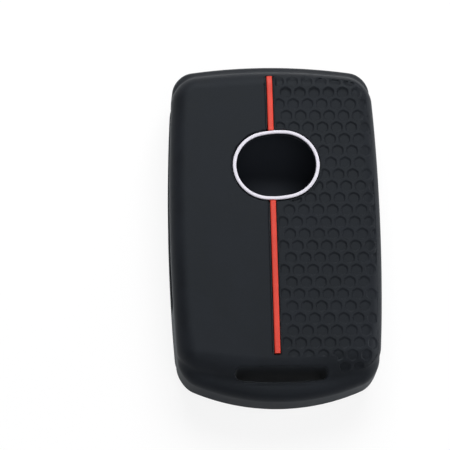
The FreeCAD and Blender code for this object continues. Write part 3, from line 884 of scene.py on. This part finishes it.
class KEYCOVER_OT_stripes(bpy.types.Operator):
    """Builds the red stripes above and below the ring"""
    bl_idname = "keycover.stripes"
    bl_label = "Stripes"

    def execute(self, context):
        cover = CoverField(context.scene)
        sizes = cover.inlays
        levels = np.linspace(sizes.stripe_foot, sizes.stripe_head, num=4000)
        near_ring = levels[cover.oval(sizes.stripe_offset, levels) < sizes.gap / 2]
        material = silicone("red_silicone", context.scene.key_cover_finish.red, roughness=0.46, shine=0.3,
                            grain=0.10)
        runs = (("red_stripe_upper", "stripe_upper", near_ring[-1], sizes.stripe_head),
                ("red_stripe_lower", "stripe_lower", sizes.stripe_foot, near_ring[0]))
        for run in runs:
            self.stripe(cover, material, *run)
        return {"FINISHED"}

    def stripe(self, cover, material, name, node, start, end):
        """One stripe, laid over the front from level to level, with ends that round down."""
        sizes = cover.inlays
        up = np.linspace(start, end, num=120)
        path = cover.over_the_edge(np.full_like(up, sizes.stripe_offset), up)
        outward = unit(gradient(cover.pillow, path))
        outward[:, 0] = 0
        across = np.tile([1.0, 0.0, 0.0], (len(up), 1))
        profile = bead_profile(sizes.stripe_width / 2, sizes.depth, sizes.proud)
        points = swept(path, across, unit(outward), profile)
        quads = grid_quads(len(up), len(profile), closed=False).tolist()
        last = (len(up) - 1) * len(profile)
        caps = [list(range(len(profile)))[::-1], list(range(last, last + len(profile)))]
        piece = make_piece(name, points, quads + caps, material)
        soft = piece.modifiers.new("soft_ends", "BEVEL")
        soft.width = 0.12 * MM
        soft.segments = 2
        soft.limit_method = "ANGLE"
        soft.angle_limit = math.radians(50)
        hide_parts(node)


def area_light(aim, name, place, size, power):
    """A square soft light at a place that looks at a point."""
    data = bpy.data.lights.new(name, "AREA")
    data.shape = "SQUARE"
    data.size = size
    data.energy = power
    light = bpy.data.objects.new(name, data)
    away = np.array(place) - np.array(aim)
    flat = math.hypot(away[0], away[1])
    light.location = place
    light.rotation_euler = (math.atan2(flat, away[2]), 0, math.atan2(away[0], -away[1]))
    bpy.context.scene.collection.objects.link(light)


class KEYCOVER_OT_stage(bpy.types.Operator):
    """Sets up the floor, the soft lights and the camera"""
    bl_idname = "keycover.stage"
    bl_label = "Stage"

    def execute(self, context):
        scene = context.scene
        middle = (0.0, 0.0, SLEEVE_HIGH[2] / 2)
        self.add_floor(scene)
        self.add_room(scene)
        for light in LIGHTS:
            area_light(middle, *light)
        self.add_camera(scene, middle)
        scene.view_settings.view_transform = "Standard"
        return {"FINISHED"}

    def add_floor(self, scene):
        """A plain pale floor, which the camera sees partly as white."""
        stage = scene.key_cover_stage
        material, shade, inputs = new_material("pale_floor")
        shade.feed(inputs, Base_Color=tuple(stage.floor) + (1.0,), Roughness=0.9)
        nodes = shade.tree.nodes
        lit = Shade(shade.tree, nodes["Principled BSDF"].outputs[0])
        bright = shade.node("ShaderNodeEmission", Strength=1.0)
        seen = shade.node("ShaderNodeLightPath", output="Is Camera Ray") * stage.bleach
        surface = shade.node("ShaderNodeMixShader", _0=seen, _1=lit, _2=bright)
        shade.feed(nodes["Material Output"].inputs, Surface=surface)
        side = 3.0
        mesh = bpy.data.meshes.new("floor")
        mesh.from_pydata([(-side, -side, 0), (side, -side, 0), (side, side, 0), (-side, side, 0)], [],
                         [(0, 1, 2, 3)])
        mesh.materials.append(material)
        floor = bpy.data.objects.new("floor", mesh)
        scene.collection.objects.link(floor)

    def add_room(self, scene):
        """A soft room that turns from dim to bright along an axis."""
        world = bpy.data.worlds.new("soft_room")
        world.use_nodes = True
        sky = Shade(world.node_tree)
        toward = sky.node("ShaderNodeTexCoord", output="Generated")
        facing = sky.node("ShaderNodeVectorMath", {"operation": "DOT_PRODUCT"}, "Value", _0=toward,
                          _1=ROOM_AXIS)
        light = sky.mix(facing.clamp_between(*ROOM_RANGE), ROOM_DIM, ROOM_BRIGHT)
        sky.feed(world.node_tree.nodes["Background"].inputs, Color=light)
        scene.world = world

    def add_camera(self, scene, middle):
        """A camera that sees the cover's middle at its place in the picture."""
        stage = scene.key_cover_stage
        data = bpy.data.cameras.new("camera")
        focal = stage.pixels_per_mm * stage.distance / MM
        data.lens = focal / stage.picture_size * data.sensor_width
        camera = bpy.data.objects.new("camera", data)
        view = (Matrix.Rotation(stage.lean, 3, "Z") @ Matrix.Rotation(-stage.from_below, 3, "X")
                @ Matrix.Rotation(stage.from_left, 3, "Y")).transposed()
        away = Vector((-stage.middle_right, stage.middle_down, stage.distance))
        camera.location = view @ away + Vector(middle)
        camera.rotation_euler = view.to_euler()
        scene.collection.objects.link(camera)
        scene.camera = camera


class KEYCOVER_PT_panel(bpy.types.Panel):
    """Lists the pieces of the key fob cover and their sizes"""
    bl_idname = "KEYCOVER_PT_panel"
    bl_label = "Key Fob Cover"
    bl_space_type = "VIEW_3D"
    bl_region_type = "UI"
    bl_category = "Key Cover"

    def draw(self, context):
        for operator in OPERATORS:
            self.layout.operator(operator.bl_idname)
        for name, group in GROUPS.items():
            box = self.layout.box()
            box.label(text=group.__doc__)
            for prop in group.__annotations__:
                box.prop(getattr(context.scene, name), prop)


OPERATORS = (KEYCOVER_OT_sleeve, KEYCOVER_OT_grip, KEYCOVER_OT_ring, KEYCOVER_OT_stripes, KEYCOVER_OT_stage)
CLASSES = tuple(GROUPS.values()) + OPERATORS + (KEYCOVER_PT_panel,)


def register():
    """Registers the classes and hangs the property groups on the scene."""
    for item in CLASSES:
        bpy.utils.register_class(item)
    for name, group in GROUPS.items():
        setattr(bpy.types.Scene, name, bpy.props.PointerProperty(type=group))


def unregister():
    """Takes the property groups and the classes away again."""
    for name in GROUPS:
        delattr(bpy.types.Scene, name)
    for item in reversed(CLASSES):
        bpy.utils.unregister_class(item)


def main():
    register()
    bpy.ops.keycover.sleeve()
    bpy.ops.keycover.grip()
    bpy.ops.keycover.ring()
    bpy.ops.keycover.stripes()
    bpy.ops.keycover.stage()


if __name__ == "__main__":
    main()
